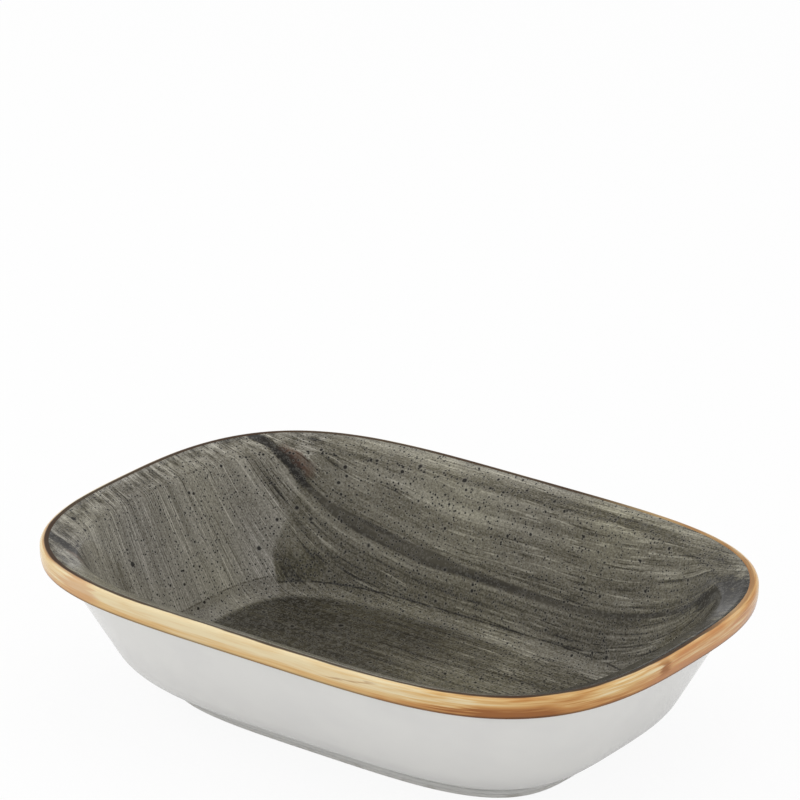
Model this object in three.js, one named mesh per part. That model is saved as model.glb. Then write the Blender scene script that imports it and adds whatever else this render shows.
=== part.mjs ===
// A rectangular porcelain bowl: a pressed body with a rolled lip and a foot ring, and its fired coats.
// Millimetres, +Z up, +X along the length. The origin is the middle of the foot, on the table.
import * as THREE from "three";
import { mergeVertices } from "three/addons/utils/BufferGeometryUtils.js";

// Overall sizes, over the glaze
const LENGTH = 200;
const WIDTH = 140.6;
const HEIGHT = 47.6;

// Foot ring: its outline on the table, its width, and its height outside and inside
const FOOT_LENGTH = 131.2;
const FOOT_WIDTH = 74.6;
const FOOT_RING = 4;
const FOOT_HEIGHT = 2.4;
const RECESS = 2.6;
const FOOT_EDGE = 0.6;
const FOOT_ROUND = 0.8;
const BARE_HEIGHT = 1.1;

// Wall and floor: the heel is the bend above the foot, and the wall's thickness is taken level
const HEEL_OVERHANG = 11.7;
const HEEL_HEIGHT = 9.4;
const HEEL_ROUND = 3.6;
const WALL = 6.4;
const FLOOR = 4.9;
const FLOOR_ROUND = 6.2;

// Rolled lip: a bead that overhangs the wall, and a shallow flare inside it that ends in a crease
const BAND_HEIGHT = 6.2;
const NECK_INSET = 4.9;
const NECK_ROUND = 1.6;
const BEAD_TUCK = 1.2;
const BEAD_EDGE = 0.7;
const BEAD_WIDEST = 2.9;
const LIP_TOP = 1.9;
const LIP_ROUND = 0.8;
const FLARE_DROP = 3.4;
const CREASE_ROUND = 1.6;

// Thickness of every fired coat
const GLAZE = 0.4;

// Squareness of the plan: 2 is an ellipse, and a higher value has flatter sides
const RIM_SIDE_SQUARENESS = 4.12;
const RIM_END_SQUARENESS = 2.79;
const FOOT_SQUARENESS = 3.7;

// Fineness of the mesh: steps around the plan, and steps along each round stretch of the section
const TURN_STEPS = 48;
const ROUND_STEPS = 3;

// Heights and half-widths that several stretches of the section share
const rimHalf = WIDTH / 2;
const footHalf = FOOT_WIDTH / 2;
const recessHalf = footHalf - FOOT_RING;
const hubHalf = recessHalf / 2;
const floorTop = RECESS + FLOOR;

const at = (across, height) => new THREE.Vector2(across, height);

// Corners of the section at mid-length, before they are rounded
const recessCorner = at(recessHalf, RECESS);
const footCorner = at(footHalf, FOOT_HEIGHT);
const heel = at(footHalf + HEEL_OVERHANG, HEEL_HEIGHT);
const neck = at(rimHalf - NECK_INSET, HEIGHT - BAND_HEIGHT);
const beadEdge = at(rimHalf - BEAD_TUCK, HEIGHT - BAND_HEIGHT);
const beadWidest = at(rimHalf, HEIGHT - BEAD_WIDEST);
const lipTop = at(rimHalf - LIP_TOP, HEIGHT);
const lipCorner = at(rimHalf - LIP_TOP - LIP_ROUND, HEIGHT);
const crease = innerWall(HEIGHT - FLARE_DROP);
const floorCorner = innerWall(floorTop);

// The inner wall runs parallel to the outer one, a wall's thickness further in.
function innerWall(height) {
  const rise = (height - heel.y) / (neck.y - heel.y);
  return at(heel.x + (neck.x - heel.x) * rise - WALL, height);
}

// A point at a distance from one corner towards another, at most half way
function towards(from, to, distance) {
  return from.clone().lerp(to, Math.min(distance / from.distanceTo(to), 0.5));
}

// Runs a path to a corner and rounds it, from reach before the corner to reach past it.
function roundCorner(path, before, corner, after, reach) {
  const start = towards(corner, before, reach);
  const end = towards(corner, after, reach);
  path.lineTo(start.x, start.y);
  path.quadraticCurveTo(corner.x, corner.y, end.x, end.y);
}

function pathFrom(point) {
  const path = new THREE.Path();
  path.moveTo(point.x, point.y);
  return path;
}

// The panel inside the foot ring, from the middle of the underside to the ring's bare edge
function undersideLine() {
  const hub = at(hubHalf, RECESS);
  const end = at(recessHalf, BARE_HEIGHT);
  const path = pathFrom(at(0, RECESS));
  path.lineTo(hub.x, hub.y);
  roundCorner(path, hub, recessCorner, end, FOOT_ROUND);
  path.lineTo(end.x, end.y);
  return path;
}

// The ground bottom of the foot ring, which stays bare
function footLine() {
  const start = at(recessHalf, BARE_HEIGHT);
  const end = at(footHalf, BARE_HEIGHT);
  const inner = at(recessHalf, 0);
  const outer = at(footHalf, 0);
  const path = pathFrom(start);
  roundCorner(path, start, inner, outer, FOOT_EDGE);
  roundCorner(path, inner, outer, end, FOOT_EDGE);
  path.lineTo(end.x, end.y);
  return path;
}

// Up the outside: foot ring, sloping underside, heel, wall and the neck under the bead
function outsideLine() {
  const start = at(footHalf, BARE_HEIGHT);
  const end = towards(beadEdge, neck, BEAD_EDGE);
  const path = pathFrom(start);
  roundCorner(path, start, footCorner, heel, FOOT_ROUND);
  roundCorner(path, footCorner, heel, neck, HEEL_ROUND);
  roundCorner(path, heel, neck, end, NECK_ROUND);
  path.lineTo(end.x, end.y);
  return path;
}

// Round the bead and over the top of the lip
function rimLine() {
  const start = towards(beadEdge, neck, BEAD_EDGE);
  const side = towards(beadEdge, beadWidest, BEAD_EDGE);
  const end = towards(lipCorner, crease, LIP_ROUND);
  const shoulder = at(beadWidest.x, (side.y + beadWidest.y) / 2);
  const path = pathFrom(start);
  path.quadraticCurveTo(beadEdge.x, beadEdge.y, side.x, side.y);
  path.quadraticCurveTo(shoulder.x, shoulder.y, beadWidest.x, beadWidest.y);
  path.quadraticCurveTo(beadWidest.x, lipTop.y, lipTop.x, lipTop.y);
  path.quadraticCurveTo(lipCorner.x, lipCorner.y, end.x, end.y);
  return path;
}

// Down the inside: flare, crease, wall and floor
function insideLine() {
  const start = towards(lipCorner, crease, LIP_ROUND);
  const hub = at(hubHalf, floorTop);
  const path = pathFrom(start);
  roundCorner(path, start, crease, floorCorner, CREASE_ROUND);
  roundCorner(path, crease, floorCorner, hub, FLOOR_ROUND);
  path.lineTo(hub.x, hub.y);
  path.lineTo(0, floorTop);
  return path;
}

// The finished surface in one run, from the middle of the underside to the middle of the floor.
// Each stretch knows where it begins and ends in the run, and whether a coat covers it.
const stretches = [
  { coat: "underside_glaze", path: undersideLine() },
  { coat: null, path: footLine() },
  { coat: "outside_glaze", path: outsideLine() },
  { coat: "rim_glaze", path: rimLine() },
  { coat: "inside_glaze", path: insideLine() },
];
const finished = [];
for (const stretch of stretches) {
  const points = stretch.path.getPoints(ROUND_STEPS);
  stretch.first = Math.max(finished.length - 1, 0);
  finished.push(...points.slice(finished.length ? 1 : 0));
  stretch.last = finished.length - 1;
}

// The surface of the body under a coat: each finished point moved inwards by the coat's thickness.
const underCoat = finished.map((point, index) => {
  const before = finished[Math.max(index - 1, 0)];
  const after = finished[Math.min(index + 1, finished.length - 1)];
  const along = after.clone().sub(before).normalize();
  const inwards = at(-along.y, along.x);
  const moved = point.clone().addScaledVector(inwards, GLAZE);
  return point.x === 0 ? at(0, moved.y) : moved;
});

// The body's section: under the coats, and out to the finished surface where it is bare
function bodySection() {
  const points = stretches.flatMap(({ coat, first, last }) => {
    const line = coat ? underCoat : finished;
    return line.slice(first, last + 1);
  });
  return points.filter((point, index) => point !== points[index - 1]);
}

// A coat's section: its finished surface, then back along the body to where it began
function coatSection({ first, last }) {
  const face = finished.slice(first, last + 1);
  const back = underCoat.slice(first, last + 1).reverse();
  return [...face, ...back, face[0]];
}

// Half-length of the plan outline whose half-width is given. Inside the hub it closes to the middle.
function halfLength(across) {
  const step = (LENGTH - FOOT_LENGTH) / (WIDTH - FOOT_WIDTH);
  const ring = Math.max(across, hubHalf);
  const length = FOOT_LENGTH / 2 + (ring - footHalf) * step;
  return (length * across) / ring;
}

// Signed power, the coordinate of a squared-off ellipse
function squared(value, squareness) {
  return Math.sign(value) * Math.abs(value) ** (2 / squareness);
}

// Turns a section round the upright axis, then draws each ring out to the plan's outline.
function turned(section) {
  const geometry = new THREE.LatheGeometry(section, TURN_STEPS);
  const position = geometry.getAttribute("position");
  for (let index = 0; index < position.count; index += 1) {
    const { x: across, y: height } = section[index % section.length];
    const step = Math.floor(index / section.length) % TURN_STEPS;
    const turn = (step / TURN_STEPS) * 2 * Math.PI;
    const inset = THREE.MathUtils.clamp((rimHalf - across) / (rimHalf - footHalf), 0, 1);
    const side = THREE.MathUtils.lerp(RIM_SIDE_SQUARENESS, FOOT_SQUARENESS, inset);
    const end = THREE.MathUtils.lerp(RIM_END_SQUARENESS, FOOT_SQUARENESS, inset);
    const x = halfLength(across) * squared(Math.sin(turn), side);
    const y = -across * squared(Math.cos(turn), end);
    position.setXYZ(index, x, y, height);
  }
  geometry.deleteAttribute("normal");
  geometry.deleteAttribute("uv");
  geometry.setIndex(shorterDiagonals(geometry));
  return mergeVertices(geometry);
}

// Splits each four-sided facet along its shorter diagonal, so that facing surfaces split alike.
function shorterDiagonals(geometry) {
  const position = geometry.getAttribute("position");
  const corner = (index) => new THREE.Vector3().fromBufferAttribute(position, index);
  const apart = (one, other) => corner(one).distanceTo(corner(other));
  const index = geometry.getIndex().array;
  const kept = [];
  for (let i = 0; i < index.length; i += 6) {
    const [a, b, d, c] = index.slice(i, i + 4);
    const split = apart(a, c) < apart(b, d) ? [[a, b, c], [a, c, d]] : [[a, b, d], [b, c, d]];
    for (const [p, q, r] of split) {
      const flat = apart(p, q) === 0 || apart(q, r) === 0 || apart(r, p) === 0;
      if (!flat) {
        kept.push(p, q, r);
      }
    }
  }
  return kept;
}

// Finishes: white porcelain, a smoky grey brushed coat inside and an amber coat on the lip
const FINISHES = {
  porcelain_body: { color: 0xe9e6de, roughness: 0.6 },
  underside_glaze: { color: 0xf2f1ee, roughness: 0.15 },
  outside_glaze: { color: 0xf2f1ee, roughness: 0.15 },
  rim_glaze: { color: 0xc98f4e, roughness: 0.2 },
  inside_glaze: { color: 0x6e6c64, roughness: 0.2 },
};

function piece(name, section) {
  const material = new THREE.MeshStandardMaterial({ ...FINISHES[name], metalness: 0 });
  const mesh = new THREE.Mesh(turned(section), material);
  mesh.name = name;
  return mesh;
}

const bowl = new THREE.Group();
bowl.name = "rectangular_bowl";
bowl.add(piece("porcelain_body", bodySection()));
for (const stretch of stretches.filter(({ coat }) => coat)) {
  bowl.add(piece(stretch.coat, coatSection(stretch)));
}

export default bowl;
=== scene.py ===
"""A rectangular porcelain bowl with a rolled amber lip and a brushed grey inside, laid out as an add-on."""

import math

import bmesh
import bpy
import numpy as np
from bpy.props import FloatProperty, FloatVectorProperty, IntProperty, PointerProperty
from mathutils import Matrix, Vector


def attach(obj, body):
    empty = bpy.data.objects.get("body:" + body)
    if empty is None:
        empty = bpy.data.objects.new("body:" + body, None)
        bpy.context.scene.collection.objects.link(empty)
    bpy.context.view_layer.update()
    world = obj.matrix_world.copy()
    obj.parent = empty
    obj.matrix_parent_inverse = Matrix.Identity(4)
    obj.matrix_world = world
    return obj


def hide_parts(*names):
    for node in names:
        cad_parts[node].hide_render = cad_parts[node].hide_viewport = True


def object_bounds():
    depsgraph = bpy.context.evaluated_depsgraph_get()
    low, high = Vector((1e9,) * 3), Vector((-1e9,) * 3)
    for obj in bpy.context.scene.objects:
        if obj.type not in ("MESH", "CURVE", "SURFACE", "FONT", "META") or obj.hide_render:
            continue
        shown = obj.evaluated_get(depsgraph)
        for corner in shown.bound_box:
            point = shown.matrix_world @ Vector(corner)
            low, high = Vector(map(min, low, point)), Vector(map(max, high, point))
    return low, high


bl_info = {
    "name": "Rectangular Bowl",
    "version": (1, 0, 0),
    "blender": (4, 5, 0),
    "location": "View3D > Sidebar > Bowl",
    "description": "Models a glazed rectangular bowl coat by coat, and the stage that it is shown on",
    "category": "Add Mesh",
}

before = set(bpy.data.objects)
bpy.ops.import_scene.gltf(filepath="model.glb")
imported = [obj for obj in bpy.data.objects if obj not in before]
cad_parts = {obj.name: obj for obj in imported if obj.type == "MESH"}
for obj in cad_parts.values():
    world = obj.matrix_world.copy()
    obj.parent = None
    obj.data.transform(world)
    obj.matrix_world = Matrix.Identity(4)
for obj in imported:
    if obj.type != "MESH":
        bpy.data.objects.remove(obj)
CAD_LOW, CAD_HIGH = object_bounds()
CAD_SIZE = CAD_HIGH - CAD_LOW

MILLIMETRES = 1000.0
MERGE_DISTANCE = 1e-6
BAND_ATTRIBUTE = "band"

# Modelling: size of the plane that a wire starts from, and the bevel's profile for a round arc
START_SIZE = 0.001
ROUND_PROFILE = 0.5

# Measuring of the rim: samples on a quarter of it, and how they crowd where the side starts
QUARTER_SAMPLES = 4001
QUARTER_CROWDING = 4

# Stage: lamps, camera and the heights between which the reflected sky dims
WHITE = (1, 1, 1, 1)
FLOOR_GREY = (0.82, 0.82, 0.82, 1)
TOP_SOFTBOX_PLACE = (0.0, 0.2, 1.1)
TOP_SOFTBOX_SIZE = 0.9
SIDE_SOFTBOX_PLACE = (-1.1, -0.3, 0.8)
SIDE_SOFTBOX_SIZE = 0.8
SENSOR_WIDTH = 36.0
CLIP_END = 50.0
HORIZON_LOW = -0.05
HORIZON_HIGH = 0.15


def length(name, description, default):
    return FloatProperty(name=name, description=description, default=default, unit="LENGTH", precision=5)


def number(name, description, default):
    return FloatProperty(name=name, description=description, default=default)


def colour(name, description, default):
    return FloatVectorProperty(
        name=name, description=description, default=default, subtype="COLOR", size=3, min=0, max=1
    )


class BowlSizes(bpy.types.PropertyGroup):
    """Sizes of the bowl over its glaze"""

    length: length("Length", "Over the lip, along X", CAD_SIZE.x)
    width: length("Width", "Over the lip, along Y", CAD_SIZE.y)
    height: length("Height", "From the table to the top of the lip", CAD_SIZE.z)

    foot_length: length("Foot length", "Outside of the foot ring, along X", 0.1312)
    foot_width: length("Foot width", "Outside of the foot ring, along Y", 0.0746)
    foot_ring: length("Foot ring", "Width of the ring that stands on the table", 0.004)
    foot_height: length("Foot height", "Height of the ring outside", 0.0024)
    foot_edge: length("Foot edge", "Rounding of the ring's two bottom edges", 0.0006)
    foot_round: length("Foot round", "Rounding where the ring meets the bowl", 0.0008)
    recess: length("Recess", "Height of the panel inside the ring", 0.0026)
    bare_height: length("Bare height", "How far the ring's bare clay reaches up", 0.0011)

    heel_overhang: length("Heel overhang", "From the ring out to the bend under the wall", 0.0117)
    heel_height: length("Heel height", "Height of that bend", 0.0094)
    heel_round: length("Heel round", "Rounding of that bend", 0.0048)
    wall: length("Wall", "Thickness of the wall, measured level", 0.0064)
    floor: length("Floor", "Thickness of the floor", 0.0049)
    floor_round: length("Floor round", "Rounding where floor and wall meet", 0.0042)

    band_height: length("Band height", "Height of the lip's bead", 0.0063)
    neck_inset: length("Neck inset", "From the bead's outside in to the wall under it", 0.0049)
    neck_round: length("Neck round", "Rounding under the bead", 0.0016)
    bead_tuck: length("Bead tuck", "How far the bead's bottom edge is tucked in", 0.0005)
    bead_edge: length("Bead edge", "Rounding of that edge", 0.0007)
    bead_shoulder: length("Bead shoulder", "From the lip's top down to where the bead turns in", 0.0042)
    bead_round: length("Bead round", "Rounding of that turn", 0.0012)
    lip_round: length("Lip round", "Rounding of the lip's outer top", 0.0016)
    lip_width: length("Lip width", "From the bead's outside to the lip's inner edge", 0.0020)
    lip_inner_round: length("Lip inner round", "Rounding of the lip's inner edge", 0.0004)
    lip_coat_end: length("Lip coat end", "How far the amber reaches past the lip's inner edge", 0.0004)
    flare_drop: length("Flare drop", "From the lip's top down to the crease", 0.0034)
    crease_round: length("Crease round", "Rounding of the crease under the flare", 0.0016)
    glaze: length("Glaze", "Thickness of each fired coat", 0.0004)

    rim_side_squareness: number("Rim side squareness", "2 is an ellipse, higher is flatter", 4.12)
    rim_end_squareness: number("Rim end squareness", "2 is an ellipse, higher is flatter", 2.79)
    foot_squareness: number("Foot squareness", "2 is an ellipse, higher is flatter", 3.7)

    turn_steps: IntProperty(name="Turn steps", description="Steps around the plan", default=256)
    round_steps: IntProperty(name="Round steps", description="Steps along each rounding", default=6)
    longest_step: length("Longest step", "Longest step along the section", 0.003)


class BowlFinishes(bpy.types.PropertyGroup):
    """Colours of the coats"""

    grey_shadow: colour("Grey shadow", "Darkest brush lines", (0.018, 0.016, 0.013))
    grey_deep: colour("Grey deep", "Thick strokes of the grey coat", (0.074, 0.067, 0.049))
    grey_middle: colour("Grey middle", "The grey coat's usual tone", (0.174, 0.163, 0.136))
    grey_pale: colour("Grey pale", "Thin strokes of the grey coat", (0.305, 0.293, 0.259))
    grey_chalk: colour("Grey chalk", "Where the grey coat is brushed almost away", (0.50, 0.48, 0.43))
    grey_warm: colour("Grey warm", "Olive cast on part of the coat", (1.0, 0.98, 0.79))
    grey_cool: colour("Grey cool", "Cooler cast on the rest", (1.0, 0.985, 0.97))
    rust: colour("Rust", "Red-brown smears beside the smudges", (0.10, 0.052, 0.034))
    speck: colour("Speck", "Iron specks in the grey coat", (0.006, 0.005, 0.004))

    # Also laid over the bead's top, partly as a painted highlight
    amber_cream: colour("Amber cream", "Where the amber coat is thick", (0.86, 0.72, 0.45))
    amber_honey: colour("Amber honey", "Between cream and orange", (0.76, 0.50, 0.21))
    amber_orange: colour("Amber orange", "Where the amber coat runs thin", (0.58, 0.28, 0.085))
    amber_salmon: colour("Amber salmon", "Pinker patches of the amber coat", (0.60, 0.27, 0.11))
    amber_brown: colour("Amber brown", "The amber coat's darkest streaks", (0.34, 0.125, 0.03))
    # Also the painted shadow under the bead, along its burnt bottom edge
    amber_burnt_and_shadow: colour("Amber burnt", "Burnt edge and spots", (0.030, 0.014, 0.007))

    white: colour("White", "White glaze", (0.842, 0.835, 0.808))
    white_pool: colour("White pool", "White glaze where it lies thick", (0.808, 0.801, 0.780))
    # Painted shade: grey laid on the white glaze just under the lip, where the lip shades the wall
    white_under_lip_shade: colour("White neck", "White glaze gathered under the lip", (0.62, 0.62, 0.59))
    # Painted shadow: a thin dark line in the groove where the foot ring meets the heel
    white_groove_shadow: colour("White line", "Thin line where the white glaze meets the foot", (0.40, 0.41, 0.39))
    clay: colour("Clay", "Bare porcelain of the foot ring", (0.84, 0.83, 0.80))
    clay_stain: colour("Clay stain", "Table marks on the bare ring", (0.62, 0.60, 0.56))


class BowlStage(bpy.types.PropertyGroup):
    """Camera, floor and lamps"""

    azimuth: FloatProperty(
        name="Azimuth", description="Camera's turn round the bowl", subtype="ANGLE",
        default=math.radians(36.661),
    )
    elevation: FloatProperty(
        name="Elevation", description="Camera's height above the table", subtype="ANGLE",
        default=math.radians(25.415),
    )
    distance: length("Distance", "From the bowl's origin to the camera", 1.336588)
    aim_side: FloatProperty(
        name="Aim side", description="Aim to the right of the origin", subtype="ANGLE",
        default=math.radians(0.047),
    )
    aim_up: FloatProperty(
        name="Aim up", description="Aim above the origin", subtype="ANGLE",
        default=math.radians(3.767),
    )
    roll: FloatProperty(
        name="Roll", description="Camera's tilt", subtype="ANGLE", default=math.radians(0.075)
    )
    lens: number("Lens", "Focal length in millimetres on a 36 mm sensor", 210.605)
    floor_size: length("Floor size", "Side of the floor", 12.0)
    floor_white: number("Floor white", "Share of the floor that is plain white to the camera", 0.92)
    floor_gleam: number("Floor gleam", "Share of the floor that is plain white in reflections", 0.30)
    sky: number("Sky", "Level of the light from all round", 0.80)
    overhead: number("Overhead", "Level of the sky overhead where it is seen in reflections", 0.48)
    top_lamp: FloatProperty(name="Top lamp", description="Softbox above", default=3.0, unit="POWER")
    side_lamp: FloatProperty(name="Side lamp", description="Softbox on the left", default=3.0, unit="POWER")


# Section of the bowl: corners in a plane through the axis, as (half-width, height), in metres


class Section:
    """The corners of the finished surface at mid-length, with the rounding of each."""

    def __init__(self, sizes):
        rim = sizes.width / 2
        foot = sizes.foot_width / 2
        recess = foot - sizes.foot_ring
        top = sizes.height
        self.sizes = sizes
        self.heel = Vector((foot + sizes.heel_overhang, sizes.heel_height))
        self.neck = Vector((rim - sizes.neck_inset, top - sizes.band_height))
        self.floor_top = sizes.recess + sizes.floor

        bead_edge = Vector((rim - sizes.bead_tuck, top - sizes.band_height))
        lip = Vector((rim - sizes.lip_width, top))
        crease = self.inner_wall(top - sizes.flare_drop)
        under_bead = self.towards(bead_edge, self.neck, sizes.bead_edge)
        inside_lip = self.towards(lip, crease, sizes.lip_coat_end)
        bare_inside = Vector((recess, sizes.bare_height))
        bare_outside = Vector((foot, sizes.bare_height))

        self.underside = [
            (Vector((0, sizes.recess)), 0),
            (Vector((recess, sizes.recess)), sizes.foot_round),
            (bare_inside, 0),
        ]
        self.foot = [
            (bare_inside, 0),
            (Vector((recess, 0)), sizes.foot_edge),
            (Vector((foot, 0)), sizes.foot_edge),
            (bare_outside, 0),
        ]
        self.outside = [
            (bare_outside, 0),
            (Vector((foot, sizes.foot_height)), sizes.foot_round),
            (self.heel, sizes.heel_round),
            (self.neck, sizes.neck_round),
            (under_bead, 0),
        ]
        self.rim = [
            (under_bead, 0),
            (bead_edge, sizes.bead_edge),
            (Vector((rim, top - sizes.bead_shoulder)), sizes.bead_round),
            (Vector((rim, top)), sizes.lip_round),
            (lip, sizes.lip_inner_round),
            (inside_lip, 0),
        ]
        self.inside = [
            (inside_lip, 0),
            (crease, sizes.crease_round),
            (self.inner_wall(self.floor_top), sizes.floor_round),
            (Vector((0, self.floor_top)), 0),
        ]

    def inner_wall(self, height):
        """The inner wall runs parallel to the outer one, a wall's thickness further in."""
        rise = (height - self.heel.y) / (self.neck.y - self.heel.y)
        across = self.heel.x + (self.neck.x - self.heel.x) * rise - self.sizes.wall
        return Vector((across, height))

    @staticmethod
    def towards(start, end, distance):
        return start + (end - start).normalized() * distance

    def whole(self):
        """The finished surface in one run, from the middle of the underside to the middle of the floor."""
        run = list(self.underside)
        for stretch in (self.foot, self.outside, self.rim, self.inside):
            run += stretch[1:]
        return run


# Plan of the bowl: a round turning is drawn out to a rectangle with soft sides


class Plan:
    """Draws a turned surface out to the bowl's plan, with even steps round the rim."""

    def __init__(self, sizes):
        self.sizes = sizes
        self.rim_half = sizes.width / 2
        self.foot_half = sizes.foot_width / 2
        self.hub_half = (self.foot_half - sizes.foot_ring) / 2
        quarter = (np.linspace(0, 1, QUARTER_SAMPLES) ** QUARTER_CROWDING) * math.pi / 2
        x, y = self.outline(np.full_like(quarter, self.rim_half), quarter)
        run = np.concatenate([[0], np.cumsum(np.hypot(np.diff(x), np.diff(y)))])
        self.quarter_turns = quarter
        self.quarter_run = run / run[-1]
        self.girth = 4 * run[-1]

    def half_length(self, across):
        step = (self.sizes.length - self.sizes.foot_length) / (self.sizes.width - self.sizes.foot_width)
        ring = np.maximum(across, self.hub_half)
        return (self.sizes.foot_length / 2 + (ring - self.foot_half) * step) * across / ring

    def outline(self, across, turn):
        """Where the ring of that half-width is at that turn from the middle of the near side."""
        sizes = self.sizes
        inset = np.clip((self.rim_half - across) / (self.rim_half - self.foot_half), 0, 1)
        side = sizes.rim_side_squareness + (sizes.foot_squareness - sizes.rim_side_squareness) * inset
        end = sizes.rim_end_squareness + (sizes.foot_squareness - sizes.rim_end_squareness) * inset
        sine, cosine = np.sin(turn), np.cos(turn)
        x = self.half_length(across) * np.sign(sine) * np.abs(sine) ** (2 / side)
        y = -across * np.sign(cosine) * np.abs(cosine) ** (2 / end)
        return x, y

    def even_turn(self, angle):
        """The turn whose share of the rim's girth is the angle's share of a whole turn."""
        quarter = math.pi / 2
        count = np.floor(angle / quarter)
        share = angle / quarter - count
        odd = count % 2 == 1
        turn = np.interp(np.where(odd, 1 - share, share), self.quarter_run, self.quarter_turns)
        return count * quarter + np.where(odd, quarter - turn, turn)

    def draw_out(self, mesh):
        """Moves each vertex of a turned mesh to the plan, and returns its angle before that."""
        places = vertex_places(mesh)
        across = np.hypot(places[:, 0], places[:, 1])
        angle = np.arctan2(places[:, 0], -places[:, 1]) % (2 * math.pi)
        places[:, 0], places[:, 1] = self.outline(across, self.even_turn(angle))
        mesh.vertices.foreach_set("co", places.ravel())
        mesh.update()
        return angle


def vertex_places(mesh):
    places = np.zeros(len(mesh.vertices) * 3)
    mesh.vertices.foreach_get("co", places)
    return places.reshape(-1, 3)


# Modelling steps, each as it is done by hand


def edit_mode():
    bpy.ops.object.mode_set(mode="EDIT")
    bpy.ops.mesh.select_mode(type="VERT")


def object_mode():
    bpy.ops.object.mode_set(mode="OBJECT")


def draw_wire(name, corners):
    """Starts an object from a plane merged to its middle, and extrudes that point from corner to corner."""
    bpy.ops.object.select_all(action="DESELECT")
    bpy.ops.mesh.primitive_plane_add(size=START_SIZE)
    piece = bpy.context.object
    piece.name = name
    piece.data.name = name
    edit_mode()
    bpy.ops.mesh.select_all(action="SELECT")
    bpy.ops.mesh.merge(type="CENTER")
    first = corners[0][0]
    bpy.ops.transform.translate(value=(first.x, 0, first.y))
    for (start, _), (end, _) in zip(corners, corners[1:]):
        step = (end.x - start.x, 0, end.y - start.y)
        bpy.ops.mesh.extrude_region_move(TRANSFORM_OT_translate={"value": step})
    return piece


def round_corners(piece, corners, segments):
    """Bevels the wire at each corner that has a rounding."""
    for corner, reach in corners:
        if reach:
            place = Vector((corner.x, 0, corner.y))
            shape = bmesh.from_edit_mesh(piece.data)
            for vertex in shape.verts:
                vertex.select_set((vertex.co - place).length < MERGE_DISTANCE)
            bmesh.update_edit_mesh(piece.data)
            bpy.ops.mesh.bevel(
                offset_type="OFFSET", offset=reach, segments=segments, profile=ROUND_PROFILE,
                affect="VERTICES",
            )


def cut_long_edges(piece, longest):
    """Halves the wire's edges until none is longer than that."""
    while True:
        shape = bmesh.from_edit_mesh(piece.data)
        bpy.ops.mesh.select_all(action="DESELECT")
        long_edges = [edge for edge in shape.edges if edge.calc_length() > longest]
        if not long_edges:
            return
        for edge in long_edges:
            edge.select_set(True)
        bmesh.update_edit_mesh(piece.data)
        bpy.ops.mesh.subdivide(number_cuts=1)


def turn_wire(piece, steps):
    """Spins the wire round the upright axis and closes its seam and poles."""
    bpy.ops.mesh.select_all(action="SELECT")
    bpy.ops.mesh.spin(steps=steps, angle=2 * math.pi, center=(0, 0, 0), axis=(0, 0, 1))
    bpy.ops.mesh.select_all(action="SELECT")
    bpy.ops.mesh.remove_doubles(threshold=MERGE_DISTANCE)
    bpy.ops.mesh.normals_make_consistent(inside=False)


def face_upwards(piece, upwards):
    """Turns an open surface over if its highest face points the wrong way."""
    shape = bmesh.from_edit_mesh(piece.data)
    highest = max(shape.faces, key=lambda face: face.calc_center_median().z)
    if (highest.normal.z > 0) != upwards:
        bpy.ops.mesh.select_all(action="SELECT")
        bpy.ops.mesh.flip_normals()


def turned_piece(name, corners, sizes):
    piece = draw_wire(name, corners)
    round_corners(piece, corners, sizes.round_steps)
    cut_long_edges(piece, sizes.longest_step)
    turn_wire(piece, sizes.turn_steps)
    return piece


def apply_modifier(piece, kind, **settings):
    modifier = piece.modifiers.new(kind.title(), kind)
    for setting, value in settings.items():
        setattr(modifier, setting, value)
    bpy.ops.object.modifier_apply(modifier=modifier.name)


def finish_piece(piece, node, material):
    """Smooths a finished piece, dresses it and lets it stand for its CAD node."""
    bpy.ops.object.shade_smooth()
    piece.data.materials.clear()
    piece.data.materials.append(material)
    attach(piece, "root")
    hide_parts(node)


def coat(name, node, corners, upwards, material):
    """A fired coat: its outer surface, drawn out to the plan, with the glaze's thickness inwards."""
    sizes = bpy.context.scene.bowl_sizes
    piece = turned_piece(name, corners, sizes)
    face_upwards(piece, upwards)
    object_mode()
    turned_places = vertex_places(piece.data)
    plan = Plan(sizes)
    angle = plan.draw_out(piece.data)
    write_band(piece, turned_places, angle, plan)
    apply_modifier(piece, "SOLIDIFY", thickness=sizes.glaze, offset=-1, use_even_offset=True)
    finish_piece(piece, node, material)


def write_band(piece, turned_places, angle, plan):
    """Keeps each point's place along the lip and round its bead, for streaks that follow the lip.

    The first two numbers go once round a circle of the lip's girth, and the third is the way round
    the bead from its bottom edge, all in millimetres."""
    sizes = plan.sizes
    middle = Vector((plan.rim_half - sizes.neck_inset / 2, sizes.height - sizes.band_height / 2))
    across = np.hypot(turned_places[:, 0], turned_places[:, 1]) - middle.x
    rise = turned_places[:, 2] - middle.y
    radius = plan.girth / (2 * math.pi) * MILLIMETRES
    bead_radius = sizes.band_height / 2 * MILLIMETRES
    round_bead = bead_radius * (np.arctan2(rise, across) + math.pi / 2)
    band = np.stack([radius * np.cos(angle), radius * np.sin(angle), round_bead], axis=1)
    attribute = piece.data.attributes.new(BAND_ATTRIBUTE, "FLOAT_VECTOR", "POINT")
    attribute.data.foreach_set("vector", band.ravel())


# Shader maths


class Value:
    """A socket in an expression. Each operation on it adds a Math node."""

    def __init__(self, finish, socket):
        self.finish = finish
        self.socket = socket

    def __add__(self, other):
        return self.finish.math("ADD", self, other)

    def __radd__(self, other):
        return self.finish.math("ADD", other, self)

    def __sub__(self, other):
        return self.finish.math("SUBTRACT", self, other)

    def __rsub__(self, other):
        return self.finish.math("SUBTRACT", other, self)

    def __mul__(self, other):
        return self.finish.math("MULTIPLY", self, other)

    def __rmul__(self, other):
        return self.finish.math("MULTIPLY", other, self)

    def __truediv__(self, other):
        return self.finish.math("DIVIDE", self, other)

    def __rtruediv__(self, other):
        return self.finish.math("DIVIDE", other, self)

    def __abs__(self):
        return self.finish.math("ABSOLUTE", self)


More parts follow.
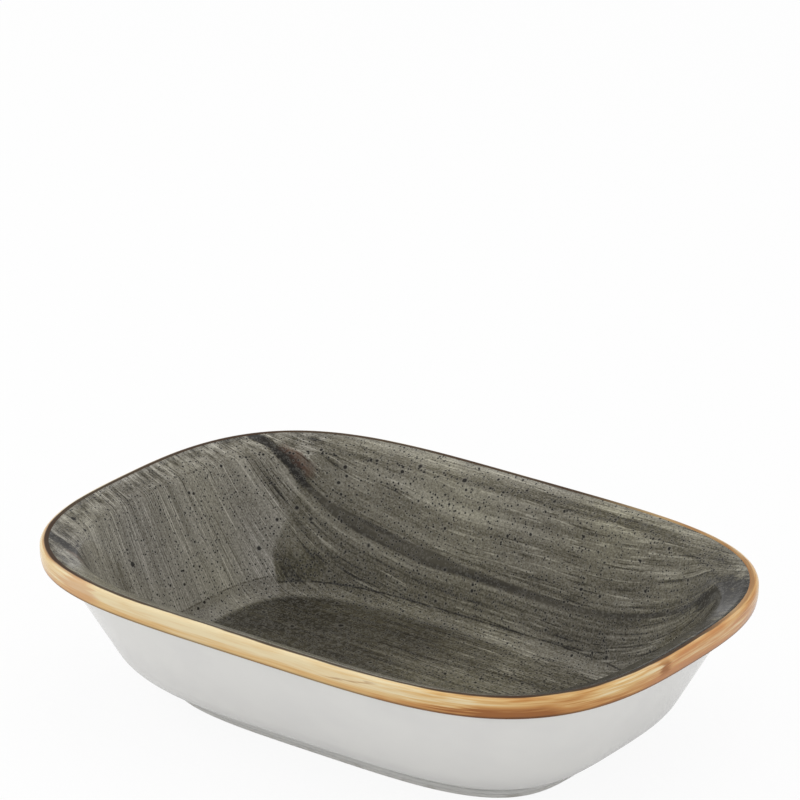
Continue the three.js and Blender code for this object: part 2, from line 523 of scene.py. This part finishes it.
class Nodes:
    """Fills one node tree, node by node."""

    def __init__(self, tree):
        self.tree = tree
        tree.nodes.clear()

    def node(self, kind, settings=None, sockets=None):
        """Adds a node, makes its settings first and then sets or links its sockets."""
        made = self.tree.nodes.new(kind)
        for setting, value in (settings or {}).items():
            if setting == "stops":
                self.set_stops(made.color_ramp, value)
            else:
                setattr(made, setting, value)
        for socket, value in (sockets or {}).items():
            if isinstance(value, Value):
                self.tree.links.new(value.socket, made.inputs[socket])
            elif value is not None:
                made.inputs[socket].default_value = value
        return made

    @staticmethod
    def set_stops(ramp, stops):
        while len(ramp.elements) < len(stops):
            ramp.elements.new(1.0)
        for element, (position, tint) in zip(ramp.elements, stops):
            element.position = position
            element.color = (*tint, 1.0)

    def read(self, output, kind, settings=None, sockets=None):
        return Value(self, self.node(kind, settings, sockets).outputs[output])

    def math(self, operation, first, second=None):
        return self.read(0, "ShaderNodeMath", {"operation": operation}, {0: first, 1: second})

    def most(self, first, *others):
        """The highest of several values."""
        for other in others:
            first = self.math("MAXIMUM", first, other)
        return first

    def clamp(self, value):
        return self.read(0, "ShaderNodeClamp", None, {"Value": value})

    def smooth(self, value, low, high):
        """Rises softly from 0 at low to 1 at high, or falls where high is the lower one."""
        return self.read(
            "Result", "ShaderNodeMapRange", {"interpolation_type": "SMOOTHSTEP"},
            {"Value": value, "From Min": low, "From Max": high},
        )

    def line(self, value, centre, half, soft):
        """1 on a line of that half-width about a centre, fading over a soft edge."""
        return self.smooth(abs(value - centre), half + soft, half)

    def vector(self, x, y, z):
        return self.read("Vector", "ShaderNodeCombineXYZ", None, {"X": x, "Y": y, "Z": z})

    def parts(self, vector):
        split = self.node("ShaderNodeSeparateXYZ", None, {"Vector": vector})
        return [Value(self, output) for output in split.outputs]

    def noise(self, x, y, z, detail=2.0):
        return self.read(
            0, "ShaderNodeTexNoise", None,
            {"Vector": self.vector(x, y, z), "Scale": 1.0, "Detail": detail, "Roughness": 0.55},
        )

    def ramp(self, value, stops):
        return self.read("Color", "ShaderNodeValToRGB", {"stops": stops}, {"Fac": value})

    def mix(self, factor, first, second, blend="MIX"):
        """Mixes two colours, each a socket or three numbers."""
        first, second = (
            tint if isinstance(tint, Value) else (*tint, 1.0) for tint in (first, second)
        )
        return self.read(
            2, "ShaderNodeMix", {"data_type": "RGBA", "blend_type": blend},
            {0: factor, 6: first, 7: second},
        )

    def millimetres(self):
        """Object coordinates in millimetres, as x, y and z."""
        place = self.read("Object", "ShaderNodeTexCoord")
        scaled = self.read(
            "Vector", "ShaderNodeVectorMath", {"operation": "SCALE"}, {0: place, "Scale": MILLIMETRES}
        )
        return self.parts(scaled)

    def bump(self, height, distance):
        return self.read(
            "Normal", "ShaderNodeBump", None, {"Height": height, "Distance": distance, "Strength": 1.0}
        )

    def specks(self, x, y, z, spacing, smallest, largest, crowding=1.0):
        """Specks of random size, one for each cell of that spacing, and the halos round them."""
        cell = self.node(
            "ShaderNodeTexVoronoi", {"voronoi_dimensions": "3D"},
            {"Vector": self.vector(x / spacing, y / spacing, z / spacing), "Scale": 1.0},
        )
        chance = self.parts(Value(self, cell.outputs["Color"]))[0]
        radius = (smallest + chance * (largest - smallest)) * crowding / spacing
        distance = Value(self, cell.outputs["Distance"])
        speck = self.smooth(distance, radius * 1.2, radius * 0.7)
        halo = self.smooth(distance, radius * 2.4, radius * 1.2)
        return speck, halo

    def mix_shaders(self, share, first, second):
        made = self.node("ShaderNodeMixShader", None, {0: share})
        self.tree.links.new(first.outputs[0], made.inputs[1])
        self.tree.links.new(second.outputs[0], made.inputs[2])
        return made

    def end(self, kind, shader):
        output = self.node(kind)
        self.tree.links.new(shader.outputs[0], output.inputs["Surface"])


class Finish(Nodes):
    """Builds one material."""

    def __init__(self, name):
        self.material = bpy.data.materials.new(name)
        self.material.use_nodes = True
        super().__init__(self.material.node_tree)

    def surface(self, constants, varying):
        """Ends the material in a Principled shader."""
        shader = self.node("ShaderNodeBsdfPrincipled", None, {**constants, **varying})
        self.end("ShaderNodeOutputMaterial", shader)
        return self.material


# Finishes. Places are in millimetres on the bowl, and weights are shares of a ramp's whole range.

GLAZE_IOR = 1.5
BRUSH_RELIEF = 0.00003
GLAZE_RIPPLE = 0.00004
HAIR_WEIGHT = 0.26
MIDDLE_TONE = 0.48
FLOOR_LINE = 11.0
LEFT_FLOOR_LINE_RISE = 1.7
CREASE_HEIGHT = 44.2
OVERLAP_LANE = 48.9
FINE_SPECKS = (1.05, 0.13, 0.33)
LARGE_SPECKS = ((3.6, 0.28, 0.55), (9.0, 0.50, 0.90))
PINHOLES = (9.0, 0.05, 0.16)
DEGREES = 180 / math.pi


class GreyBrushwork:
    """The grey coat's brush marks, and the zones of the bowl in which they differ."""

    def __init__(self, finish):
        self.finish = finish
        self.x, self.y, self.z = finish.millimetres()
        self.lay_brush_lines()
        self.mark_zones()

    def brushed(self, length, breadth, seed, detail=1.0):
        """Noise that is drawn out along the brush lines."""
        return self.finish.noise(self.x / length, self.row / breadth, seed, detail)

    def lay_brush_lines(self):
        """Brush lines run along X and bend towards the middle near both ends."""
        finish, x, y, z = self.finish, self.x, self.y, self.z
        bend = finish.smooth(x, -35.0, -90.0) * 4.6 + finish.smooth(x, 45.0, 95.0) * 3.5
        bend = bend * finish.clamp(abs(y) / 50.0)
        lean = finish.smooth(x, -66.0, -98.0) * finish.clamp(abs(y) / 12.0) * 4.0
        self.wander = (finish.noise(x / 60.0, y / 18.0, 3.0, 1.0) - 0.5) * 2.4
        self.lane = abs(y) + bend + x * 0.02
        self.row = finish.math("SIGN", y) * (self.lane + lean) + self.wander

        pale_hairs = finish.smooth(self.brushed(length=13.0, breadth=0.42, seed=0.0), 0.54, 0.74)
        dark_hairs = finish.smooth(self.brushed(length=17.0, breadth=0.46, seed=5.0), 0.54, 0.74)
        showing = finish.smooth(self.brushed(length=40.0, breadth=5.0, seed=27.0), 0.30, 0.62)
        self.hairs = (pale_hairs * HAIR_WEIGHT - dark_hairs * HAIR_WEIGHT) * (0.35 + showing * 0.65)
        self.strands = self.brushed(length=60.0, breadth=1.6, seed=9.0, detail=2.0) - 0.5
        self.strokes = self.brushed(length=110.0, breadth=6.0, seed=13.0, detail=2.0) - 0.5
        self.blotches = self.brushed(length=5.0, breadth=2.5, seed=33.0) - 0.5
        self.clouds = finish.noise(x / 40.0, y / 26.0, 21.0, 1.0) - 0.5
        self.grit = finish.noise(x / 0.6, y / 0.45, z / 0.6, 1.0) - 0.5
        self.rough = finish.noise(x / 4.0, y / 2.0, z / 4.0) - 0.5

    def mark_zones(self):
        """Each zone is 1 inside and fades to 0 at its edge."""
        finish, x, y, z = self.finish, self.x, self.y, self.z
        self.on_floor = finish.smooth(z, 8.3, 7.6)
        off_floor = 1 - self.on_floor
        ragged_x = x + self.strokes * 60.0 + self.strands * 30.0
        self.even_floor = self.on_floor * finish.smooth(ragged_x, 18.0, -24.0)

        from_left = x - finish.smooth(abs(y), 33.0, 28.0) * 6.0
        self.left_end = finish.smooth(from_left, -69.0, -71.0) * off_floor
        self.left_face = self.left_end * finish.smooth(abs(y), 42.0, 36.0)
        self.right_half = finish.smooth(x, 10.0, 40.0)
        self.right_end = finish.smooth(x, 58.0, 78.0)
        self.far = finish.smooth(y, 30.0, 50.0) * finish.smooth(x, -68.0, -50.0)

        self.low_wall = finish.smooth(z, 34.0, 14.0)
        self.foot_wall = finish.smooth(z, 22.0, 15.0) * off_floor
        self.rise = z - self.left_end * LEFT_FLOOR_LINE_RISE
        self.margin = finish.smooth(self.rise, FLOOR_LINE + 0.4, FLOOR_LINE - 0.6) * off_floor
        self.flare = finish.smooth(z - self.far, 44.4, 46.2)
        self.crease = finish.line(z, CREASE_HEIGHT, 0.12, 0.50)

        corner_edge = finish.smooth(from_left + self.strands * 12.0 + self.strokes * 8.0, -71.5, -65.5)
        self.corner = finish.smooth(x, -54.0, -61.0) * corner_edge * (1 - self.left_end)
        self.corner = self.corner * self.foot_wall * (1 - self.margin)

    def brushed_tone(self):
        """The floor's left half and the left end are brushed more evenly than the rest."""
        left_end, on_floor, even_floor = self.left_end, self.on_floor, self.even_floor
        streaks = self.hairs * (1 + left_end * 0.3) + self.strands * (0.42 - left_end * 0.14)
        streaks = streaks + self.strokes * 0.34
        contrast = 1.05 + self.right_half * 0.3 + left_end * (0.15 - self.margin * 0.8)
        contrast = contrast + (on_floor - even_floor) * 0.3 - even_floor * 0.42
        tone = MIDDLE_TONE + self.grit * (0.65 - even_floor * 0.36) + self.clouds * 0.22
        tone = tone + streaks * contrast - on_floor * 0.12 - even_floor * 0.13
        tone = tone + left_end * 0.06 + self.left_face * (0.03 + self.low_wall * 0.08)
        tone = tone - self.right_end * 0.13 - self.corner * 0.17 - self.margin * left_end * 0.11
        return tone - self.finish.smooth(self.x, -25.0, -55.0) * (1 - left_end) * 0.045

    def shade_far_wall(self, tone):
        """The far wall is painted lighter under its crease and darker near the floor, most on the left:
        painted light and painted shade.
        """
        finish, x, z, far = self.finish, self.x, self.z, self.far
        # Painted light on the far wall's upper part, and painted shade on its lower part near the floor
        thin = far * finish.line(z, 39.5, 2.5, 3.0) * finish.smooth(x, 35.0, -20.0)
        thick = far * self.foot_wall * finish.smooth(x, 14.0, -12.0)
        depth = finish.smooth(x, -42.0, 0.0) * 0.14 + self.right_half * 0.10
        band = far * finish.line(z, 45.3, 0.35, 0.75) * depth * finish.smooth(x, 64.0, 52.0)
        return tone + thin * 0.13 - thick * 0.14 - finish.smooth(x, 54.0, 66.0) * 0.05 - band

    def shade_flare(self, tone):
        """The flare under the lip is brushed thin and blotchy, and dark at the right end."""
        finish, x, y, flare = self.finish, self.x, self.y, self.flare
        blotchy = self.blotches * (0.25 + self.left_end * 1.0)
        tone = tone + flare * (0.05 - self.left_end * 0.14 + blotchy)
        tone = tone + flare * self.far * finish.smooth(x, 18.0, -8.0) * 0.15
        tone = tone - flare * finish.smooth(x, 82.0, 90.0) * finish.smooth(y, 44.0, 38.0) * 0.38
        return tone + flare * finish.smooth(x, 68.0, 76.0) * finish.smooth(y, 43.0, 47.0) * 0.10

    def draw_overlaps(self, tone):
        """Overlapping strokes leave a dark line along each side, with fine lines beside it."""
        finish, x, lane, strands = self.finish, self.x, self.lane, self.strands
        thick = finish.smooth(x, -76.0, -46.0) * finish.smooth(x, 35.0, -15.0)
        breadth = 0.16 + thick * 0.34 + finish.smooth(x, -12.0, -24.0) * thick * 0.42
        self.overlap = finish.line(lane + strands * 0.8, OVERLAP_LANE, breadth, 0.45)
        tail = finish.line(lane + strands * 2.0, 48.6, 0.6, 1.0) * finish.smooth(x, 24.0, 50.0)

        bundle = finish.smooth(lane, 43.0, 45.0) * finish.smooth(lane, 48.2, 47.6)
        bundle = bundle * (1 - self.right_half * 0.4)
        threads = finish.noise(x / 90.0, lane / 0.55 + self.wander * 0.3, 41.0, 1.0)
        threads = finish.smooth(threads, 0.48, 0.62)
        second = finish.line(lane, 50.3, 0.10, 0.16)
        gleam = finish.line(lane, 46.6, 0.14, 0.16) * finish.smooth(x, 10.0, -20.0)
        tone = tone - bundle * threads * 0.13 - second * 0.12 + gleam * 0.12 - tail * 0.14
        return tone + self.overlap * (0.52 + thick * 0.36) * (0.17 + strands * 0.75 - tone)

    def smudge_ends(self, tone):
        """At both ends that line runs into black smudges, and the right end's crease has a dark stroke."""
        finish, x, z, rough = self.finish, self.x, self.z, self.rough
        smeared = self.lane + rough * 3.0
        falling = smeared + finish.most(x - 74.0, 0.0) * 0.38
        left_smudge = finish.line(smeared, 49.4, 0.9, 1.6) * finish.smooth(x, -65.0, -75.0)
        right_smudge = finish.line(falling, 47.6, 0.9, 1.4) * finish.smooth(x, 71.0, 76.0)
        right_smudge = right_smudge * finish.smooth(x, 87.0, 83.0)
        right_crease = finish.line(z + rough * 4.0, 44.0, 0.9, 2.0) * finish.smooth(x, 79.0, 84.0)
        rim_stroke = finish.line(self.y + rough * 5.0, 41.8, 2.0, 2.2) * finish.smooth(x, 82.0, 87.0)
        rim_stroke = rim_stroke * finish.smooth(z, 45.7, 46.7)
        smudge = finish.most(left_smudge, right_smudge, rim_stroke)
        tone = tone - finish.most(smudge, right_crease * 0.75) * 0.62
        worn = self.flare * finish.smooth(x, 70.0, 80.0) * (1 - smudge)
        return tone + worn * rough * (0.9 + finish.smooth(x, 82.0, 88.0) * 0.7)

    def gather_glaze(self, tone):
        """Glaze gathers in a thin dark line where the wall meets the floor, and in the crease."""
        finish = self.finish
        gathered = finish.line(self.rise, FLOOR_LINE, 0.08, 0.24)
        gathered = gathered * finish.smooth(self.blotches + self.strokes, -0.30, 0.0)
        depth = 0.22 + finish.smooth(self.x, -66.0, -56.0) * 0.12
        return tone - gathered * depth - self.crease * 0.07

    def tint(self, tone, colours):
        """Turns the tone into greys with an olive cast in places, and a rust smear at the left end."""
        finish, x = self.finish, self.x
        shade = finish.ramp(
            tone,
            [
                (0.10, colours.grey_shadow),
                (0.30, colours.grey_deep),
                (0.50, colours.grey_middle),
                (0.70, colours.grey_pale),
                (0.95, colours.grey_chalk),
            ],
        )
        warmth = 0.45 + self.corner * 0.8 + self.clouds * 1.4 - self.left_end * 0.25 - self.overlap * 0.4
        cast = finish.mix(finish.clamp(warmth), colours.grey_cool, colours.grey_warm)
        shade = finish.mix(1.0, shade, cast, "MULTIPLY")
        smear = finish.line(self.lane + self.rough * 3.0, 51.4, 0.4, 1.4)
        smear = smear * finish.smooth(x, -66.0, -70.0) * (1 - finish.smooth(x, -76.0, -81.0))
        return finish.mix(smear * 0.65, shade, colours.rust)

    def speckle(self, shade, colours):
        """Iron specks with pale halos, crowded in the crease, on the floor and on the far wall's left."""
        finish, x, y, z = self.finish, self.x, self.y, self.z
        crowding = 0.70 + finish.noise(x / 9.0, y / 9.0, z / 9.0, 1.0) * 0.60
        crowding = crowding + self.crease * finish.smooth(self.blotches, -0.15, 0.25)
        crowding = crowding + self.on_floor * (0.12 + finish.smooth(x, 0.0, 25.0) * 0.2)
        crowding = crowding + self.far * finish.smooth(x, 0.0, -30.0) * 0.12
        ragged = self.rough * 0.5 + self.grit * 0.25
        speck, halo = finish.specks(x + ragged, y - ragged, z, *FINE_SPECKS, crowding)
        for spacing, smallest, largest in LARGE_SPECKS:
            layer = z + spacing * 9.0
            larger, around = finish.specks(x + ragged, y - ragged, layer, spacing, smallest, largest)
            speck = finish.most(speck, larger)
            halo = finish.most(halo, around)
        shade = finish.mix(halo * 0.22, shade, colours.grey_pale)
        return finish.mix(speck * 0.94, shade, colours.speck)


def grey_glaze(colours):
    """Smoky grey coat, brushed along the length, with dark overlaps, iron specks and a clear gloss."""
    finish = Finish("brushed_grey")
    brushwork = GreyBrushwork(finish)
    tone = brushwork.brushed_tone()
    tone = brushwork.shade_far_wall(tone)
    tone = brushwork.shade_flare(tone)
    tone = brushwork.draw_overlaps(tone)
    tone = brushwork.smudge_ends(tone)
    tone = brushwork.gather_glaze(tone)
    shade = brushwork.speckle(brushwork.tint(tone, colours), colours)
    relief = brushwork.hairs + brushwork.strands * 0.5
    return finish.surface(
        {"IOR": GLAZE_IOR, "Specular IOR Level": 0.35},
        {
            "Base Color": shade,
            "Roughness": 0.10 + brushwork.strands * 0.08,
            "Normal": finish.bump(relief, BRUSH_RELIEF),
        },
    )


def amber_glaze(colours):
    """Amber coat on the lip, cream where it lies thick and over the bead's top, partly as a painted
    highlight, streaked along the lip, with burnt edges and a painted shadow under the bead.
    """
    finish = Finish("streaked_amber")
    x, y, _ = finish.millimetres()
    band = finish.read("Vector", "ShaderNodeAttribute", {"attribute_name": BAND_ATTRIBUTE})
    along, beside, across = finish.parts(band)

    streaks = finish.noise(along / 14.0, beside / 14.0, across / 0.6) - 0.5
    patches = finish.noise(along / 24.0, beside / 24.0, across / 5.0 + 40.0, 1.0) - 0.5
    drift = finish.noise(along / 60.0, beside / 60.0, 9.0, 1.0) - 0.5
    ragged = patches * 20.0 + streaks * 14.0

    # Degrees round the lip, from the middle of the near side towards +X
    turn = finish.math("ARCTAN2", beside, along) * DEGREES

    # The bead is creamier over its top and more orange low down: partly the coat's own colour, partly a
    # painted highlight on the top
    low = finish.smooth(across + patches * 4.0, 5.4, 3.0)
    right_end = finish.smooth(x, 30.0, 72.0)
    deep = finish.line(turn + ragged, 51.5, 6.0, 5.0) * finish.smooth(across + streaks * 3.0, 6.8, 4.6)
    warm = 0.12 + low * 0.32 + streaks * 0.45 + patches * 0.40 + drift * 0.35
    warm = warm + right_end * (0.24 + streaks * 0.8 + patches * 0.6) + deep * 0.45
    warm = warm + finish.smooth(abs(turn), 100.0, 130.0) * (0.14 + drift * 1.3)
    shade = finish.ramp(
        warm,
        [
            (0.05, colours.amber_cream),
            (0.33, colours.amber_honey),
            (0.60, colours.amber_orange),
            (0.95, colours.amber_brown),
        ],
    )

    # Pinker patches at the right end and on the near left, a dark spot and a thin vein
    salmon = finish.smooth(turn + ragged, 72.0, 82.0) * finish.smooth(turn, 125.0, 95.0)
    blush = finish.line(turn + ragged * 0.7, -38.0, 1.5, 4.0)
    pink = finish.most(salmon * (0.5 + streaks * 1.6), blush * 0.5)
    spot = finish.line(turn + across * 0.3 + ragged * 0.4, 84.0, 0.6, 1.6)
    spot = spot * finish.line(across, 5.8, 0.6, 2.8)
    vein = finish.line(across - turn * 0.2 + ragged * 0.12, 1.25, 0.05, 0.30)
    vein = vein * finish.line(turn, 22.0, 3.0, 4.0)
    shade = finish.mix(pink, shade, colours.amber_salmon)
    shade = finish.mix(finish.most(spot * 0.9, vein * 0.5), shade, colours.amber_brown)

    # Burnt edges: a dark line along the lip's inner edge with a brown fringe, and one under the bead that
    # is partly its burnt edge and partly painted shadow under the lip
    edge = across + streaks * 0.5 + patches * 1.0 + drift * 0.6
    left_corner = finish.smooth(turn, -72.0, -62.0) * finish.smooth(turn, -34.0, -42.0)
    scorched = finish.most(left_corner, finish.smooth(drift, -0.08, 0.20))
    fringe = finish.smooth(edge, 7.7, 8.8) * scorched
    far_right = finish.smooth(x, 15.0, 55.0) * finish.smooth(y, 0.0, 30.0)
    burnt = finish.smooth(edge, 8.45, 8.8) * (0.95 - far_right * 0.6)
    # Partly burnt edge, partly painted shadow where the lip overhangs the wall
    burnt_and_shaded_underline = finish.smooth(across + streaks * 0.5, 2.7, 2.1)
    shade = finish.mix(fringe * 0.75, shade, colours.amber_brown)
    shade = finish.mix(finish.most(burnt, burnt_and_shaded_underline * 0.6), shade, colours.amber_burnt_and_shadow)
    return finish.surface(
        {"IOR": GLAZE_IOR, "Specular IOR Level": 0.3},
        {
            "Base Color": shade,
            "Roughness": 0.18 + streaks * 0.10 + finish.most(burnt_and_shaded_underline, burnt) * 0.4,
            "Normal": finish.bump(streaks + patches, BRUSH_RELIEF),
        },
    )


def white_glaze(colours):
    """White gloss, a little greyer where it pools, with painted shade under the lip and a thin painted
    shadow line above the foot.
    """
    finish = Finish("white_gloss")
    x, y, z = finish.millimetres()
    clouds = finish.noise(x / 22.0, y / 22.0, z / 14.0, 2.0)
    ripple = finish.noise(x / 9.0, y / 9.0, z / 9.0, 1.0)
    # Painted shade under the lip: the white greys towards the neck
    neck = finish.smooth(z, 36.5, 40.6)
    # Painted shadow in the groove where the foot ring meets the heel
    foot_groove_shadow = finish.line(z, 2.7, 0.14, 0.26)
    pinholes, _ = finish.specks(x, y, z, *PINHOLES)
    shade = finish.mix(finish.smooth(clouds, 0.35, 0.75), colours.white, colours.white_pool)
    shade = finish.mix(neck * 0.6, shade, colours.white_under_lip_shade)
    shade = finish.mix(foot_groove_shadow * 0.6, shade, colours.white_groove_shadow)
    shade = finish.mix(pinholes * 0.5, shade, colours.clay_stain)
    return finish.surface(
        {"IOR": GLAZE_IOR},
        {
            "Base Color": shade,
            "Roughness": 0.08 + clouds * 0.05,
            "Normal": finish.bump(ripple, GLAZE_RIPPLE),
        },
    )


def bare_clay(colours):
    """Ground porcelain of the foot ring, with a fine grain and table marks."""
    finish = Finish("bare_clay")
    x, y, z = finish.millimetres()
    grain = finish.noise(x / 0.35, y / 0.35, z / 0.35, 3.0)
    marks = finish.noise(x / 7.0, y / 7.0, z / 7.0, 3.0)
    shade = finish.mix(finish.smooth(marks, 0.52, 0.72), colours.clay, colours.clay_stain)
    shade = finish.mix(grain * 0.25, shade, colours.clay_stain)
    return finish.surface(
        {"IOR": GLAZE_IOR},
        {
            "Base Color": shade,
            "Roughness": 0.55 + grain * 0.25,
            "Normal": finish.bump(grain, GLAZE_RIPPLE),
        },
    )


def white_finish(colours):
    """The outside and the underside share one white finish."""
    return bpy.data.materials.get("white_gloss") or white_glaze(colours)


# Operators, one for each piece


class BOWL_OT_porcelain_body(bpy.types.Operator):
    """Model the pressed porcelain shell that carries the coats"""

    bl_idname = "bowl.porcelain_body"
    bl_label = "Porcelain Body"

    def execute(self, context):
        sizes = context.scene.bowl_sizes
        piece = turned_piece("pressed_shell", Section(sizes).whole(), sizes)
        object_mode()
        Plan(sizes).draw_out(piece.data)
        edit_mode()
        shape = bmesh.from_edit_mesh(piece.data)
        for vertex in shape.verts:
            vertex.select_set(vertex.co.z > sizes.bare_height + MERGE_DISTANCE)
        bmesh.update_edit_mesh(piece.data)
        bpy.ops.transform.shrink_fatten(value=-sizes.glaze, use_even_offset=True)
        object_mode()
        finish_piece(piece, "porcelain_body", bare_clay(context.scene.bowl_finishes))
        return {"FINISHED"}


class BOWL_OT_underside_glaze(bpy.types.Operator):
    """Coat the panel inside the foot ring"""

    bl_idname = "bowl.underside_glaze"
    bl_label = "Underside Glaze"

    def execute(self, context):
        corners = Section(context.scene.bowl_sizes).underside
        material = white_finish(context.scene.bowl_finishes)
        coat("underside_coat", "underside_glaze", corners, False, material)
        return {"FINISHED"}


class BOWL_OT_outside_glaze(bpy.types.Operator):
    """Coat the outside, from the foot ring to the neck under the lip"""

    bl_idname = "bowl.outside_glaze"
    bl_label = "Outside Glaze"

    def execute(self, context):
        corners = Section(context.scene.bowl_sizes).outside
        material = white_finish(context.scene.bowl_finishes)
        coat("outside_coat", "outside_glaze", corners, False, material)
        return {"FINISHED"}


class BOWL_OT_rim_glaze(bpy.types.Operator):
    """Coat the lip with amber"""

    bl_idname = "bowl.rim_glaze"
    bl_label = "Rim Glaze"

    def execute(self, context):
        corners = Section(context.scene.bowl_sizes).rim
        material = amber_glaze(context.scene.bowl_finishes)
        coat("lip_coat", "rim_glaze", corners, True, material)
        return {"FINISHED"}


class BOWL_OT_inside_glaze(bpy.types.Operator):
    """Coat the inside with brushed grey"""

    bl_idname = "bowl.inside_glaze"
    bl_label = "Inside Glaze"

    def execute(self, context):
        corners = Section(context.scene.bowl_sizes).inside
        material = grey_glaze(context.scene.bowl_finishes)
        coat("inside_coat", "inside_glaze", corners, True, material)
        return {"FINISHED"}


# Stage


def seen_directly(nodes, direct, reflected):
    """The share for rays from the camera or through clear things, and the share for reflections."""
    rays = nodes.node("ShaderNodeLightPath")
    camera = Value(nodes, rays.outputs["Is Camera Ray"])
    through = Value(nodes, rays.outputs["Is Transmission Ray"])
    glossy = Value(nodes, rays.outputs["Is Glossy Ray"])
    return nodes.clamp((camera + through) * direct + glossy * reflected)


def light_world(stage):
    """Even light from all round, which is seen as white, and in reflections is dimmer overhead."""
    world = bpy.data.worlds.new("studio_light")
    bpy.context.scene.world = world
    world.use_nodes = True
    nodes = Nodes(world.node_tree)
    light = nodes.node("ShaderNodeBackground", None, {"Color": WHITE, "Strength": stage.sky})
    rise = nodes.parts(nodes.read("Generated", "ShaderNodeTexCoord"))[2]
    reflected = nodes.read("Is Glossy Ray", "ShaderNodeLightPath")
    dimming = nodes.smooth(rise, HORIZON_LOW, HORIZON_HIGH) * reflected * (1 - stage.overhead)
    white = nodes.node("ShaderNodeBackground", None, {"Color": WHITE, "Strength": 1 - dimming})
    share = seen_directly(nodes, 1.0, 1.0)
    nodes.end("ShaderNodeOutputWorld", nodes.mix_shaders(share, light, white))


def floor_material(stage):
    """White to the camera with the bowl's soft shadow, and clear from below."""
    finish = Finish("studio_floor")
    matt = finish.node("ShaderNodeBsdfDiffuse", None, {"Color": FLOOR_GREY})
    white = finish.node("ShaderNodeEmission", None, {"Color": WHITE, "Strength": 1.0})
    clear = finish.node("ShaderNodeBsdfTransparent")
    share = seen_directly(finish, stage.floor_white, stage.floor_gleam)
    below = finish.read("Backfacing", "ShaderNodeNewGeometry")
    both = finish.mix_shaders(below, finish.mix_shaders(share, matt, white), clear)
    finish.end("ShaderNodeOutputMaterial", both)
    return finish.material


def add_softbox(name, place, size, power):
    """A square area lamp that faces the bowl."""
    bpy.ops.object.light_add(type="AREA", location=place)
    lamp = bpy.context.object
    lamp.name = name
    lamp.rotation_euler = (-Vector(place)).to_track_quat("-Z", "Y").to_euler()
    lamp.data.shape = "SQUARE"
    lamp.data.size = size
    lamp.data.energy = power
    lamp.visible_glossy = False


def add_camera(stage):
    """A camera on the given bearing whose aim is turned a little off the bowl's origin."""
    level = math.cos(stage.elevation)
    back = Vector(
        (math.sin(stage.azimuth) * level, -math.cos(stage.azimuth) * level, math.sin(stage.elevation))
    )
    right = (-back).cross(Vector((0, 0, 1))).normalized()
    up = right.cross(-back)
    ahead = (
        -back * math.cos(stage.aim_up) * math.cos(stage.aim_side)
        + right * math.cos(stage.aim_up) * math.sin(stage.aim_side)
        + up * math.sin(stage.aim_up)
    )
    right = ahead.cross(up).normalized()
    up = right.cross(ahead)
    turn = Matrix((right, up, -ahead)).transposed() @ Matrix.Rotation(stage.roll, 3, "Z")
    bpy.ops.object.camera_add(location=back * stage.distance)
    camera = bpy.context.object
    camera.name = "photo_camera"
    camera.rotation_mode = "QUATERNION"
    camera.rotation_quaternion = turn.to_quaternion()
    camera.data.sensor_width = SENSOR_WIDTH
    camera.data.lens = stage.lens
    camera.data.clip_end = CLIP_END
    bpy.context.scene.camera = camera


class BOWL_OT_stage(bpy.types.Operator):
    """Set the bowl on a white floor in soft light, with the camera at the photograph's angle"""

    bl_idname = "bowl.stage"
    bl_label = "Stage"

    def execute(self, context):
        stage = context.scene.bowl_stage
        bpy.ops.object.select_all(action="DESELECT")
        bpy.ops.mesh.primitive_plane_add(size=stage.floor_size)
        floor = context.object
        floor.name = "studio_floor"
        floor.data.materials.append(floor_material(stage))
        light_world(stage)
        add_softbox("top_softbox", TOP_SOFTBOX_PLACE, TOP_SOFTBOX_SIZE, stage.top_lamp)
        add_softbox("side_softbox", SIDE_SOFTBOX_PLACE, SIDE_SOFTBOX_SIZE, stage.side_lamp)
        add_camera(stage)
        context.scene.view_settings.view_transform = "Standard"
        return {"FINISHED"}


STEPS = (
    BOWL_OT_porcelain_body,
    BOWL_OT_underside_glaze,
    BOWL_OT_outside_glaze,
    BOWL_OT_rim_glaze,
    BOWL_OT_inside_glaze,
    BOWL_OT_stage,
)


class BOWL_PT_panel(bpy.types.Panel):
    """Lists the bowl's pieces in the order that they are made"""

    bl_idname = "BOWL_PT_panel"
    bl_label = "Rectangular Bowl"
    bl_space_type = "VIEW_3D"
    bl_region_type = "UI"
    bl_category = "Bowl"

    def draw(self, context):
        for step in STEPS:
            self.layout.operator(step.bl_idname)


GROUPS = (
    ("bowl_sizes", BowlSizes),
    ("bowl_finishes", BowlFinishes),
    ("bowl_stage", BowlStage),
)
CLASSES = (*(group for _, group in GROUPS), *STEPS, BOWL_PT_panel)


def register():
    for listed in CLASSES:
        bpy.utils.register_class(listed)
    for name, group in GROUPS:
        setattr(bpy.types.Scene, name, PointerProperty(type=group))


def unregister():
    for name, _ in GROUPS:
        delattr(bpy.types.Scene, name)
    for listed in reversed(CLASSES):
        bpy.utils.unregister_class(listed)


def main():
    register()
    bpy.ops.bowl.porcelain_body()
    bpy.ops.bowl.underside_glaze()
    bpy.ops.bowl.outside_glaze()
    bpy.ops.bowl.rim_glaze()
    bpy.ops.bowl.inside_glaze()
    bpy.ops.bowl.stage()


if __name__ == "__main__":
    main()
